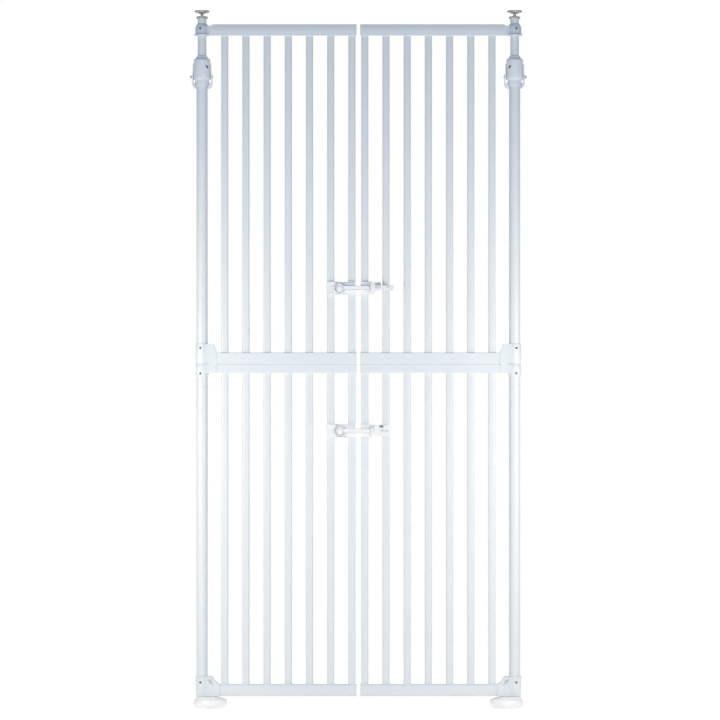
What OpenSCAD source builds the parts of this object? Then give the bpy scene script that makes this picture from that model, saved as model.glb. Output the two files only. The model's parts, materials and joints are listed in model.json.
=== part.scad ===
// Floor to ceiling pet gate: two braced poles carry a pair of barred doors that swing round them.
// Millimetres, +Z up, front towards -Y, origin on the floor midway between the poles.

/* [Overall] */
// Distance between the centres of the two poles
pole_spacing = 800; // [500:10:1100]
// Height of the whole gate, from the floor to the ceiling
gate_h = 1784; // [1780:1:2200]
// Gap between the free edges of the two doors
door_gap = 9; // [8:1:20]

/* [Poles] */
// Outer diameter of the lower pole
pole_d = 28.6; // [25.4:0.1:34]
// Outer diameter of the upper pole, which slides in the lower one
upper_d = 22.2; // [19:0.1:24]
// Wall of the steel tubes
tube_t = 1; // [0.8:0.1:1.5]
// Height of the joint between the bottom and the middle tube
joint_z = 818; // [400:1:850]
// Height of the mouth of the lower pole
pole_top = 1600; // [1400:1:1640]
// How far the upper pole reaches down into the lower one
upper_insert = 350; // [250:10:500]
// Running clearance between a pole and a collar that turns round it
turn_clear = 0.3; // [0.2:0.05:0.5]

/* [Doors] */
// Height of the foot, on which the door's lowest collar stands
foot_h = 30; // [24:1:40]
// Height of the lower panel, over both its rails
lower_panel_h = 849.5; // [700:0.5:860]
// Height of the upper panel, over both its rails
upper_panel_h = 868; // [700:1:870]
// Gap between the upper and the lower panel
panel_gap = 1; // [0.5:0.1:3]
// Height of the top rail
top_rail_h = 28; // [20:1:40]
// Height of the upper panel's bottom rail
upper_rail_h = 28.5; // [20:0.5:40]
// Height of the lower panel's top rail
lower_rail_h = 22.5; // [20:0.5:40]
// Height of the bottom rail
bottom_rail_h = 30; // [20:1:40]
// Depth of every rail, front to back
rail_depth = 18; // [14:1:24]
// Wall of the rails
rail_t = 1.2; // [0.8:0.1:1.6]
// Thickness of the plastic cap on a rail's free end
cap_t = 3; // [2:0.5:5]

/* [Bars] */
// Width of a bar
bar_w = 18.5; // [12:0.5:22]
// Depth of a bar
bar_depth = 10; // [8:1:12]
// Wall of the bars
bar_t = 0.9; // [0.7:0.1:1.2]
// Pitch that the bars keep to as nearly as a whole number of them allows
bar_pitch = 54; // [45:1:70]
// Distance from the pole's centre to the first bar's centre
first_bar = 58; // [56:1:70]
// Distance from the door's free edge to the last bar's centre
last_bar = 12; // [12:0.5:20]

/* [Hinge collars] */
// Wall of the collars round the lower pole
collar_wall = 1.9; // [1.5:0.1:4]
// Depth of a hinge bracket's arm
arm_depth = 20; // [18:1:26]
// Rise of the middle bracket above its rail
middle_rise = 22; // [10:1:30]
// Rise of the bottom bracket above its rail
bottom_rise = 21; // [10:1:30]
// Length of the top bracket, from the pole's centre to the rail
top_reach = 31; // [28:1:40]
// Length of the middle bracket
middle_reach = 38; // [32:1:45]
// Length of the bottom bracket
bottom_reach = 46; // [34:1:48]
// Length of the plug that holds a rail on its bracket
plug_l = 25; // [15:1:40]

/* [Feet] */
// Diameter of a foot
foot_d = 86.5; // [70:0.5:100]
// Distance from the pole's centre to the foot's outer edge
foot_edge = 22.5; // [20:0.5:30]
// Thickness of the rubber sole
sole_t = 3; // [2:0.5:5]
// Depth of the socket that the pole stands in
socket_depth = 18; // [10:1:22]

/* [Clamp and jack lever] */
// Height of the clamp housing
housing_h = 60; // [50:1:80]
// Distance from the lower edge of the housing down to the tips of the lever's claws
claw_drop = 21; // [15:1:30]
// Length of the lever's handle below its pivot
handle_l = 84; // [60:1:110]
// Diameter of the lever's pivot pin
jack_pin_d = 5; // [4:0.5:6]

/* [Ceiling adjuster] */
// Diameter of the threaded rod
rod_d = 8; // [6:1:10]
// Length of the threaded rod
rod_l = 60; // [50:1:90]
// Diameter of the ceiling disc
disc_d = 38; // [30:1:60]
// Thickness of the ceiling disc
disc_t = 6; // [4:0.5:8]
// Thickness of the rubber face on the disc
pad_t = 2; // [1:0.5:4]
// Diameter of the thumb nut
nut_d = 29; // [24:1:36]
// Thickness of the thumb nut
nut_t = 7; // [5:0.5:10]
// Distance from the top of the tube to the underside of the disc
rod_show = 14; // [12:1:20]

/* [Latches] */
// Height of the upper latch
upper_latch_z = 1074; // [950:1:1600]
// Height of the lower latch
lower_latch_z = 709; // [150:1:780]
// Height of the blocks that clamp on the bars
clamp_h = 33; // [26:1:40]
// Thickness of the clamping plates in front of and behind the bars
plate_t = 6; // [5:0.5:8]
// Height of the latch arm
arm_h = 12; // [10:0.5:14]
// Thickness of the latch arm
arm_t = 5; // [4:0.5:7]
// Diameter of the boss that the arm turns on
boss_d = 22; // [18:1:26]
// Distance from the middle of the gate to the arm's pivot
pivot_x = 47; // [46:1:50]
// Distance that the arm reaches past the middle of the gate
arm_reach = 30; // [26:1:34]
// Travel of the slide lock
lock_travel = 12; // [8:1:14]

/* [Hidden] */
$fn = 96;
eps = 0.01;

LEFT = -1;
RIGHT = 1;
pole_x = pole_spacing / 2;
pole_r = pole_d / 2;
upper_r = upper_d / 2;
collar_r = pole_r + turn_clear + collar_wall;

// Heights of the rails
lower_top = foot_h + lower_panel_h;
upper_bottom = lower_top + panel_gap;
door_top = upper_bottom + upper_panel_h;
top_rail_z = door_top - top_rail_h;
upper_rail_top = upper_bottom + upper_rail_h;
lower_rail_z = lower_top - lower_rail_h;
bottom_rail_top = foot_h + bottom_rail_h;

// Door and bar layout, measured from the pole's centre towards the middle of the gate
door_edge = pole_x - door_gap / 2;
rail_end = door_edge - cap_t;
last_bar_u = door_edge - last_bar;
bar_count = round((last_bar_u - first_bar) / bar_pitch) + 1;
bar_step = (last_bar_u - first_bar) / (bar_count - 1);

// Ceiling adjuster
rod_r = rod_d / 2;
disc_z = gate_h - pad_t - disc_t;
upper_top = disc_z - rod_show;
plug_flange_t = 1;
nut_z = upper_top + plug_flange_t;
nut_clear = 0.05;

// Clamp housing, and the ring of the collet under it
housing_z = pole_top + 7;
housing_r = pole_r + 7.7;
cap_ring_r = upper_r + 3.6;
collet_clear = 0.15;
ring_r = pole_r + 3.2;
ring_drop = 8;

// Jack lever: its claws clear the corner of the collet's ring as they swing
pin_z = housing_z + 7;
lever_in = housing_r + 0.5;
lever_out = lever_in + 3.8;
claw_in = pole_r + 0.9;
claw_tip = housing_z - pin_z - claw_drop;
hook_top = -norm([pin_z - pole_top + ring_drop, sqrt(ring_r * ring_r - claw_in * claw_in)]) - 0.3;
handle_y = pole_r + 2.2;
handle_t = 3.5;
claw_out = claw_in + 4;
ring_gap = ring_r + 0.4;
claw_top = -norm([pin_z - housing_z, sqrt(housing_r * housing_r - ring_gap * ring_gap)]) - 0.3;
joiner_band_h = 8;
joiner_l = 60;
joiner_band_r = pole_r + 0.3;

// Latches: everything lies in front of the bars, y measured towards the back
bar_front = -bar_depth / 2;
plate_y = bar_front - plate_t;
arm_y = plate_y - 1 - arm_t;
lock_clear = 0.4;
lock_front_t = 2.5;
guide_y = arm_y - 1;
lock_y = guide_y - lock_clear - lock_front_t;
guide_h = 16;
guide_from = arm_reach + 0.8;
clip_h = 29;
screw_r = 2;
screw_head_r = 2.8;
screw_head_t = 2;
screw_fit = 0.15;
pin_r = 3;
pin_fit = 0.06;

// Screws in the hinge collars
top_collar_r = upper_r + 6;
screw_u = -4;
seat_sink = 0.3;
top_screw_z = top_rail_z + 17;
top_screw_l = 3;
collar_screw_l = 1.1;
collar_screw_z = [upper_rail_top + 12, lower_rail_z - 1, bottom_rail_top + 6];
function seat_y(r) = -sqrt(r * r - screw_u * screw_u) + seat_sink;

latch_bars = [last_bar_u, last_bar_u - bar_step];
inner_bar_x = pole_x - latch_bars[0];
outer_bar_x = pole_x - latch_bars[1];
base_screw_x = [-outer_bar_x + bar_w / 2 + 5, -inner_bar_x - bar_w / 2 - 5];
keeper_screw_x = inner_bar_x + bar_w / 2 + 5;
back_y = bar_depth / 2 + plate_t;

// Shared shapes

// Places a piece on a pole: local +X points from that pole to the middle of the gate
module at_pole(side) {
  translate([side * pole_x, 0, 0])
    mirror([side > 0 ? 1 : 0, 0, 0])
      children();
}

module both_poles() {
  for (side = [LEFT, RIGHT])
    at_pole(side) children();
}

module ring(outer, inner, h) {
  difference() {
    cylinder(r = outer, h = h);
    translate([0, 0, -1]) cylinder(r = inner, h = h + 2);
  }
}

module rounded_rect(w, h, r) {
  square([w - 2 * r, h], center = true);
  square([w, h - 2 * r], center = true);
  for (x = [-1, 1], y = [-1, 1])
    translate([x * (w / 2 - r), y * (h / 2 - r)]) circle(r = r, $fn = 32);
}

// A steel box section along +X, its lower face at z
module rail(from, to, z, h) {
  translate([from, 0, z + h / 2])
    rotate([90, 0, 90])
      linear_extrude(to - from)
        difference() {
          rounded_rect(rail_depth, h, 2);
          rounded_rect(rail_depth - 2 * rail_t, h - 2 * rail_t, 1);
        }
}

// The plug that fills the end of a rail, with a small clearance
module rail_plug(from, to, z, h) {
  slack = 0.2;
  translate([from, 0, z + h / 2])
    rotate([90, 0, 90])
      linear_extrude(to - from)
        rounded_rect(rail_depth - 2 * rail_t - slack, h - 2 * rail_t - slack, 0.8);
}

// A flat oval tube standing on z
module bar(z, h) {
  half = (bar_w - bar_depth) / 2;
  translate([0, 0, z])
    linear_extrude(h)
      difference() {
        bar_outline(half, bar_depth / 2);
        bar_outline(half, bar_depth / 2 - bar_t);
      }
}

module bar_outline(half, r) {
  square([2 * half, 2 * r], center = true);
  for (x = [-half, half])
    translate([x, 0]) circle(r = r);
}

module bars(z, h) {
  for (i = [0 : bar_count - 1])
    translate([first_bar + i * bar_step, 0, 0]) bar(z, h);
}

// A plate standing on edge: an outline in X and Z given a thickness about y = 0
module upright(depth) {
  translate([0, depth / 2, 0])
    rotate([90, 0, 0])
      linear_extrude(depth) children();
}

module front_screw(x, y, z, l) {
  translate([x, y, z])
    rotate([90, 0, 0]) {
      cylinder(r = screw_head_r, h = screw_head_t, $fn = 48);
      translate([0, 0, -l]) cylinder(r = screw_r, h = l + eps, $fn = 48);
    }
}

// Poles

module bottom_tube(side) {
  from = foot_h - socket_depth;
  color("white") at_pole(side)
    translate([0, 0, from])
      ring(pole_r, pole_r - tube_t, joint_z - joiner_band_h / 2 - from);
}

module middle_tube(side) {
  from = joint_z + joiner_band_h / 2;
  color("white") at_pole(side)
    translate([0, 0, from]) ring(pole_r, pole_r - tube_t, pole_top - from);
}

module tube_joiners() {
  inside_r = pole_r - tube_t - 0.1;
  color("gainsboro") both_poles()
    difference() {
      union() {
        translate([0, 0, joint_z - joiner_l / 2]) cylinder(r = inside_r, h = joiner_l);
        translate([0, 0, joint_z - joiner_band_h / 2])
          cylinder(r = joiner_band_r, h = joiner_band_h);
      }
      translate([0, 0, joint_z - joiner_l])
        cylinder(r = inside_r - 2, h = 2 * joiner_l);
    }
}

module foot(side) {
  offset_u = foot_d / 2 - foot_edge;
  rim_z = sole_t + 6;
  rim_h = 10;
  boss_r = pole_r + 3.5;
  crown_z = foot_h - 2.5;
  color("white") at_pole(side)
    difference() {
      union() {
        hull() {
          translate([offset_u, 0, sole_t]) cylinder(r = foot_d / 2 - 7, h = 1, $fn = 64);
          translate([offset_u, 0, rim_z]) cylinder(r = foot_d / 2, h = rim_h, $fn = 64);
          translate([offset_u * 0.62, 0, crown_z - 2]) cylinder(r = foot_d * 0.33, h = 1, $fn = 64);
          translate([offset_u * 0.3, 0, crown_z - 0.5]) cylinder(r = foot_d * 0.21, h = 0.5, $fn = 64);
        }
        translate([0, 0, sole_t + 2]) cylinder(r = boss_r, h = foot_h - sole_t - 2);
      }
      translate([0, 0, foot_h - socket_depth]) cylinder(r = pole_r, h = socket_depth + 1);
    }
}

module foot_soles() {
  offset_u = foot_d / 2 - foot_edge;
  color("dimgray") both_poles()
    translate([offset_u, 0, 0]) cylinder(r = foot_d / 2 - 8, h = sole_t);
}

// Clamp on the mouth of the lower pole

module clamp_collets() {
  sleeve_l = 40;
  jaw_h = 26;
  slit_w = 1.2;
  color("whitesmoke") both_poles()
    difference() {
      union() {
        translate([0, 0, pole_top - sleeve_l]) cylinder(r = pole_r - tube_t - 0.1, h = sleeve_l + 1);
        translate([0, 0, housing_z]) cylinder(r = pole_r - 0.3, h = jaw_h);
        translate([0, 0, pole_top - ring_drop]) ring(ring_r, pole_r + 0.05, ring_drop + 1);
        translate([0, 0, pole_top]) cylinder(r = ring_r, h = housing_z - pole_top);
      }
      translate([0, 0, pole_top - 2 * sleeve_l])
        cylinder(r = upper_r + collet_clear, h = 4 * sleeve_l);
      translate([-slit_w / 2, 0, housing_z + 1]) cube([slit_w, pole_d, jaw_h]);
    }
}

// Half of the housing's section: straight sides, a rounded shoulder and a small ring on top
module housing_outline() {
  cap_h = 5;
  shoulder = 6;
  round_z = housing_h - cap_h - shoulder;
  round_r = housing_r - 0.8 - shoulder;
  polygon(concat(
    [[0, 0], [housing_r, 0], [housing_r - 0.8, round_z]],
    [for (a = [15 : 15 : 90]) [round_r + shoulder * cos(a), round_z + shoulder * sin(a)]],
    [[cap_ring_r, housing_h - cap_h], [cap_ring_r, housing_h], [0, housing_h]]
  ));
}

module clamp_housing(side) {
  core_r = pole_r + 0.1;
  core_h = 28;
  color("white") at_pole(side)
    difference() {
      translate([0, 0, housing_z]) rotate_extrude() housing_outline();
      translate([0, 0, housing_z - 1]) cylinder(r = core_r, h = core_h);
      translate([0, 0, housing_z]) cylinder(r = upper_r + 0.5, h = housing_h + 1);
      translate([-40, 0, pin_z]) rotate([0, 90, 0]) cylinder(r = jack_pin_d / 2 + 0.05, h = 80);
    }
}

module jack_pins() {
  head_r = jack_pin_d / 2 + 1.2;
  color("silver") both_poles()
    for (out = [-1, 1])
      translate([0, 0, pin_z]) mirror([out > 0 ? 1 : 0, 0, 0]) {
        translate([pole_r + 0.5, 0, 0])
          rotate([0, 90, 0]) cylinder(r = jack_pin_d / 2, h = lever_out + 0.3 - pole_r - 0.5);
        translate([lever_out + 0.3, 0, 0])
          rotate([0, 90, 0]) cylinder(r = head_r, h = out > 0 ? 4 : 1.2);
      }
}

// Side view of one cheek of the lever about the pin, Y across and Z up
module cheek_outline() {
  top_r = 9;
  top_z = 25;
  waist = -14;
  back = handle_y + handle_t;
  polygon([
    [-top_r, top_z], [-top_r, waist + 8], [-6, waist], [-6, claw_tip],
    [back, claw_tip], [back, waist], [top_r, waist + 16], [top_r, top_z]
  ]);
  translate([0, top_z]) circle(r = top_r);
}

// Front view of one cheek: its outer face leans in towards the top, and below the housing it
// thickens to a claw that curves in under the collet's ring
module cheek_front() {
  bend_z = -12;
  polygon(concat(
    [[lever_in, 40], [lever_in, claw_top], [ring_gap, claw_top], [ring_gap, hook_top],
     [claw_in, hook_top], [claw_in, claw_tip]],
    [for (a = [90 : -15 : 0])
      [claw_out + (lever_out - claw_out) * cos(a), bend_z - (bend_z - claw_tip) * sin(a)]],
    [[lever_out, -8], [lever_in + 1.3, 12], [lever_in + 0.9, 40]]
  ));
}

module cheek() {
  boss_r = 6;
  intersection() {
    translate([pole_r, 0, 0])
      rotate([90, 0, 90]) linear_extrude(lever_out - pole_r + 1) cheek_outline();
    upright(2 * foot_d) cheek_front();
  }
  translate([lever_in, 0, 0])
    rotate([0, 90, 0]) cylinder(r = boss_r, h = lever_out - lever_in);
}

module jack_lever(side) {
  handle_w = 24;
  hook_h = hook_top - claw_tip;
  color("white") at_pole(side)
    translate([0, 0, pin_z])
      difference() {
        union() {
          for (out = [0, 1])
            mirror([out, 0, 0]) cheek();
          translate([-claw_out, handle_y, claw_tip]) cube([2 * claw_out, handle_t, hook_h]);
          translate([-handle_w / 2, handle_y, -handle_l])
            cube([handle_w, handle_t, handle_l + claw_tip + 1]);
        }
        translate([-40, 0, 0]) rotate([0, 90, 0]) cylinder(r = jack_pin_d / 2 + pin_fit, h = 80);
      }
}

// Upper pole and ceiling adjuster

module upper_tube(side) {
  from = pole_top - upper_insert;
  color("whitesmoke") at_pole(side)
    translate([0, 0, from]) ring(upper_r, upper_r - tube_t, upper_top - from);
}

module tube_plug(side) {
  plug_h = 22;
  color("gainsboro") at_pole(side)
    difference() {
      union() {
        translate([0, 0, upper_top - plug_h]) cylinder(r = upper_r - tube_t - 0.05, h = plug_h + eps);
        translate([0, 0, upper_top]) cylinder(r = upper_r, h = plug_flange_t);
      }
      translate([0, 0, upper_top - plug_h - 1]) cylinder(r = rod_r + 0.2, h = plug_h + 3);
    }
}

module thumb_nut(side) {
  hub_r = rod_r + 3.5;
  color("silver") at_pole(side)
    translate([0, 0, nut_z])
      difference() {
        union() {
          cylinder(r = nut_d / 2, h = nut_t - 1);
          cylinder(r = hub_r, h = nut_t);
        }
        translate([0, 0, -1]) cylinder(r = rod_r + nut_clear, h = nut_t + 2);
      }
}

module adjuster_rod(side) {
  color("silver") at_pole(side)
    translate([0, 0, disc_z - rod_l]) cylinder(r = rod_r, h = rod_l);
}

module ceiling_disc(side) {
  rim = 1.5;
  color("silver") at_pole(side)
    translate([0, 0, disc_z])
      rotate_extrude()
        polygon([
          [0, 0], [rod_r + 4, 0], [disc_d / 2 - 3, disc_t * 0.45],
          [disc_d / 2, disc_t - rim], [disc_d / 2, disc_t], [0, disc_t]
        ]);
}

module ceiling_pad(side) {
  color("dimgray") at_pole(side)
    translate([0, 0, disc_z + disc_t]) cylinder(r = disc_d / 2 - 1, h = pad_t);
}

// Door frames

module top_rail(side) {
  color("white") at_pole(side) rail(top_reach, rail_end, top_rail_z, top_rail_h);
}

module upper_panel_rail(side) {
  color("white") at_pole(side) rail(middle_reach, rail_end, upper_bottom, upper_rail_h);
}

module lower_panel_rail(side) {
  color("white") at_pole(side) rail(middle_reach, rail_end, lower_rail_z, lower_rail_h);
}

module bottom_rail(side) {
  color("white") at_pole(side) rail(bottom_reach, rail_end, foot_h, bottom_rail_h);
}

module upper_bars(side) {
  color("white") at_pole(side) bars(upper_rail_top, top_rail_z - upper_rail_top);
}

module lower_bars(side) {
  color("white") at_pole(side) bars(bottom_rail_top, lower_rail_z - bottom_rail_top);
}

module rail_cap(z, h) {
  translate([rail_end, 0, z + h / 2])
    rotate([90, 0, 90]) linear_extrude(cap_t) rounded_rect(rail_depth, h, 2.5);
  rail_plug(rail_end - 15, rail_end + eps, z, h);
}

module rail_caps(side) {
  color("whitesmoke") at_pole(side) {
    rail_cap(top_rail_z, top_rail_h);
    rail_cap(upper_bottom, upper_rail_h);
    rail_cap(lower_rail_z, lower_rail_h);
    rail_cap(foot_h, bottom_rail_h);
  }
}

// Hinge brackets

// The bore that lets a bracket turn round a pole of radius r
module pole_bore(r) {
  cylinder(r = r + turn_clear, h = gate_h);
}

module top_bracket(side) {
  neck_drop = 3.5;
  flange_h = 3;
  taper_h = 8;
  taper = 4;
  collar_h = top_rail_h + 0.5 - taper_h;
  color("white") at_pole(side)
    difference() {
      union() {
        translate([0, 0, top_rail_z]) cylinder(r = top_collar_r, h = collar_h);
        translate([0, 0, top_rail_z + collar_h])
          cylinder(r1 = top_collar_r, r2 = top_collar_r - taper, h = taper_h);
        translate([0, 0, top_rail_z - 0.5]) cylinder(r = top_collar_r + 3, h = flange_h);
        upright(arm_depth - 4)
          polygon([
            [0, top_rail_z], [top_reach, top_rail_z], [top_reach, door_top],
            [top_reach - 4, door_top], [top_reach - 9, door_top - neck_drop],
            [top_collar_r - 2, door_top - neck_drop], [0, door_top]
          ]);
        rail_plug(top_reach - eps, top_reach + plug_l, top_rail_z, top_rail_h);
      }
      pole_bore(upper_r);
      screw_seat(top_collar_r, top_screw_z, top_screw_l);
    }
}

module upper_panel_bracket(side) {
  shoulder = middle_reach - 9;
  top = upper_rail_top + middle_rise;
  color("white") at_pole(side)
    difference() {
      union() {
        translate([0, 0, upper_bottom]) cylinder(r = collar_r, h = top - upper_bottom);
        upright(arm_depth)
          polygon([
            [0, upper_bottom], [middle_reach, upper_bottom], [middle_reach, upper_rail_top],
            [shoulder, top], [0, top]
          ]);
        rail_plug(middle_reach - eps, middle_reach + plug_l, upper_bottom, upper_rail_h);
      }
      pole_bore(pole_r);
      screw_seat(collar_r, collar_screw_z[0], collar_screw_l);
    }
}

module lower_panel_bracket(side) {
  collar_drop = 6;
  color("white") at_pole(side)
    difference() {
      union() {
        translate([0, 0, lower_rail_z - collar_drop])
          cylinder(r = collar_r, h = lower_rail_h + collar_drop);
        upright(arm_depth)
          polygon([
            [0, lower_rail_z], [middle_reach, lower_rail_z], [middle_reach, lower_top], [0, lower_top]
          ]);
        rail_plug(middle_reach - eps, middle_reach + plug_l, lower_rail_z, lower_rail_h);
      }
      pole_bore(pole_r);
      screw_seat(collar_r, collar_screw_z[1], collar_screw_l);
    }
}

module bottom_bracket(side) {
  flat = 25;
  steps = 12;
  band_h = 5;
  top = bottom_rail_top + bottom_rise;
  curve = [for (i = [0 : steps])
    [flat + (bottom_reach - flat) * i / steps,
     bottom_rail_top + bottom_rise * (1 + cos(180 * i / steps)) / 2]];
  color("white") at_pole(side)
    difference() {
      union() {
        translate([0, 0, foot_h]) cylinder(r = collar_r, h = top - foot_h);
        translate([0, 0, top - band_h]) cylinder(r = collar_r + 0.6, h = band_h);
        upright(arm_depth)
          polygon(concat([[bottom_reach, foot_h], [0, foot_h], [0, top]], curve));
        rail_plug(bottom_reach - eps, bottom_reach + plug_l, foot_h, bottom_rail_h);
      }
      pole_bore(pole_r);
      screw_seat(collar_r, collar_screw_z[2], collar_screw_l);
    }
}

// Small screws in the fronts of the collars, clear of the poles inside
module collar_screws() {
  front_screw(screw_u, seat_y(top_collar_r), top_screw_z, top_screw_l);
  for (z = collar_screw_z)
    front_screw(screw_u, seat_y(collar_r), z, collar_screw_l);
}

// The hole and the flat seat of one of those screws
module screw_seat(r, z, l) {
  translate([screw_u, seat_y(r), z])
    rotate([90, 0, 0]) {
      cylinder(r = screw_head_r + screw_fit, h = 2 * screw_head_t, $fn = 48);
      translate([0, 0, -l - screw_fit]) cylinder(r = screw_r + screw_fit, h = l + 1, $fn = 48);
    }
}

module door_screws(side) {
  color("silver") at_pole(side) collar_screws();
  color("silver") {
    if (side == LEFT) latch_base_screws();
    if (side == RIGHT) keeper_screws();
  }
}

// Latches: the base and its arm are on the left door, the keeper and its slide lock on the right

// A screw put in from behind, its head on the back plate at x and z
module back_screw(x, z) {
  translate([x, back_y, z])
    rotate([90, 0, 0]) {
      translate([0, 0, -screw_head_t]) cylinder(r = screw_head_r, h = screw_head_t, $fn = 48);
      cylinder(r = screw_r, h = back_y - plate_y - 2, $fn = 48);
    }
}

module screw_hole(x, z) {
  translate([x, back_y + 1, z])
    rotate([90, 0, 0]) cylinder(r = screw_r + screw_fit, h = back_y - plate_y, $fn = 48);
}

module latch_base_screws() {
  for (z = [upper_latch_z, lower_latch_z], x = base_screw_x)
    back_screw(x, z - 8);
}

module keeper_screws() {
  for (z = [upper_latch_z, lower_latch_z]) {
    for (dz = [-5, 5]) back_screw(keeper_screw_x, z + dz);
    translate([guide_screw_x(z), guide_y, z])
      rotate([90, 0, 0]) {
        translate([0, 0, -6]) cylinder(r = screw_r, h = 6 + lock_clear * 2 + lock_front_t, $fn = 48);
        translate([0, 0, lock_clear * 2 + lock_front_t]) cylinder(r = 4, h = 1.6, $fn = 48);
      }
  }
}

// The two slide locks wait at different distances from the arm's tip
function clip_from(z) = arm_reach + (z == upper_latch_z ? 1.6 : 10.6);
function clip_to(z) = clip_from(z) + (z == upper_latch_z ? 11 : 13);
function rib_to(z) = clip_to(z) + (z == upper_latch_z ? 15 : 10);
function guide_screw_x(z) = clip_to(z) + (z == upper_latch_z ? 6 : 9.9);

module latch_base(z) {
  x0 = -outer_bar_x - bar_w / 2 - 2;
  x1 = -inner_bar_x + bar_w / 2;
  wall_top = boss_d / 2 + 5;
  color("white") translate([0, 0, z])
    difference() {
      union() {
        translate([x0, plate_y, -clamp_h / 2]) cube([bar_w + 5, plate_t - eps, clamp_h]);
        translate([x1 - bar_w - 4, plate_y, -clamp_h / 2]) cube([bar_w + 4, plate_t - eps, clamp_h]);
        translate([x0 + 4, plate_y, -boss_d / 2 - 2]) cube([x1 - x0 - 4, plate_t - eps, boss_d + 4]);
        translate([-pivot_x - 7, plate_y, 0]) cube([x1 + pivot_x + 7, plate_t - eps, wall_top]);
        for (x = base_screw_x)
          translate([x - 4.4, plate_y, -12]) cube([8.8, back_y - plate_y - plate_t, 8]);
      }
      for (x = base_screw_x) screw_hole(x, -8);
      translate([-pivot_x, 0, 0]) rotate([90, 0, 0])
        cylinder(r = pin_r, h = 40, center = true);
    }
}

module latch_clamps() {
  x0 = -outer_bar_x - bar_w / 2 - 2;
  x1 = -inner_bar_x + bar_w / 2;
  color("white")
    for (z = [upper_latch_z, lower_latch_z])
      translate([0, 0, z])
        difference() {
          translate([x0, bar_depth / 2 + eps, -clamp_h / 2])
            cube([x1 - x0, plate_t - eps, clamp_h]);
          for (x = base_screw_x) screw_hole(x, -8);
        }
}

module latch_pins() {
  head_t = 1.6;
  color("silver")
    for (z = [upper_latch_z, lower_latch_z])
      translate([-pivot_x, 0, z])
        rotate([90, 0, 0]) {
          translate([0, 0, -bar_front]) cylinder(r = pin_r, h = bar_front - arm_y + 0.3);
          translate([0, 0, -arm_y + 0.3]) cylinder(r = pin_r + 2, h = head_t);
        }
}

module latch_arm(z) {
  color("white") translate([0, 0, z])
    difference() {
      union() {
        translate([-pivot_x, arm_y + arm_t, 0]) rotate([90, 0, 0]) cylinder(r = boss_d / 2, h = arm_t);
        translate([-pivot_x, arm_y, -arm_h / 2]) cube([pivot_x + arm_reach - arm_h / 2, arm_t, arm_h]);
        translate([arm_reach - arm_h / 2, arm_y + arm_t, 0])
          rotate([90, 0, 0]) cylinder(r = arm_h / 2, h = arm_t);
      }
      translate([-pivot_x, 0, 0]) rotate([90, 0, 0])
        cylinder(r = pin_r + pin_fit, h = 60, center = true);
    }
}

module latch_keepers() {
  x0 = inner_bar_x - bar_w / 2 - 1.5;
  x1 = keeper_screw_x + 4;
  rib_top = 15;
  color("white")
    for (z = [upper_latch_z, lower_latch_z])
      translate([0, 0, z])
        difference() {
          union() {
            translate([x0, plate_y, -clamp_h / 2]) cube([x1 - x0, plate_t - eps, clamp_h]);
            translate([guide_from, guide_y, -guide_h / 2])
              cube([guide_screw_x(z) + 6 - guide_from, bar_front - guide_y - eps, guide_h]);
            translate([x1 - eps, plate_y, 0]) cube([rib_to(z) - x1, plate_t - eps, rib_top]);
            translate([keeper_screw_x - 4, plate_y, -10]) cube([8, back_y - plate_y - plate_t, 20]);
          }
          for (dz = [-5, 5]) screw_hole(keeper_screw_x, dz);
          translate([guide_screw_x(z), guide_y + 6, 0])
            rotate([90, 0, 0]) cylinder(r = screw_r, h = 20, $fn = 48);
        }
}

module keeper_clamps() {
  x0 = inner_bar_x - bar_w / 2 - 1.5;
  x1 = keeper_screw_x + 4;
  color("white")
    for (z = [upper_latch_z, lower_latch_z])
      translate([0, 0, z])
        difference() {
          translate([x0, bar_depth / 2 + eps, -clamp_h / 2])
            cube([x1 - x0, plate_t - eps, clamp_h]);
          for (dz = [-5, 5]) screw_hole(keeper_screw_x, dz);
        }
}

// The clip that slides along the keeper's guide and over the arm's tip, with its slotted strap
module slide_lock(z) {
  upper = z == upper_latch_z;
  strap_h = upper ? 12 : 30;
  strap_to = upper ? 84 : 81;
  knob_r = 7.2;
  slot_r = screw_r + 0.4;
  flange_t = (clip_h - guide_h) / 2 - lock_clear;
  flange_back = plate_y - 0.4;
  slot_x = guide_screw_x(z);
  color("white") translate([0, 0, z])
    difference() {
      union() {
        translate([clip_from(z), lock_y, -clip_h / 2])
          cube([clip_to(z) - clip_from(z), lock_front_t, clip_h]);
        for (up = [0, 1])
          mirror([0, 0, up])
            translate([clip_from(z), lock_y, guide_h / 2 + lock_clear])
              cube([clip_to(z) - clip_from(z), flange_back - lock_y, flange_t]);
        translate([clip_to(z) - 1, lock_y, -strap_h / 2])
          cube([strap_to - clip_to(z) + 1, lock_front_t, strap_h]);
        if (upper)
          translate([strap_to, lock_y + lock_front_t, 0])
            rotate([90, 0, 0]) cylinder(r = knob_r, h = lock_front_t + 4);
      }
      for (x = [slot_x, slot_x + lock_travel])
        translate([x, 0, 0]) rotate([90, 0, 0]) cylinder(r = slot_r, h = 60, center = true, $fn = 48);
      translate([slot_x, lock_y - 10, -slot_r]) cube([lock_travel, 14, 2 * slot_r]);
      if (!upper)
        translate([clip_to(z), lock_y - 1, guide_h / 2])
          cube([rib_to(z) - clip_to(z), lock_front_t + 2, clip_h]);
    }
}

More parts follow.
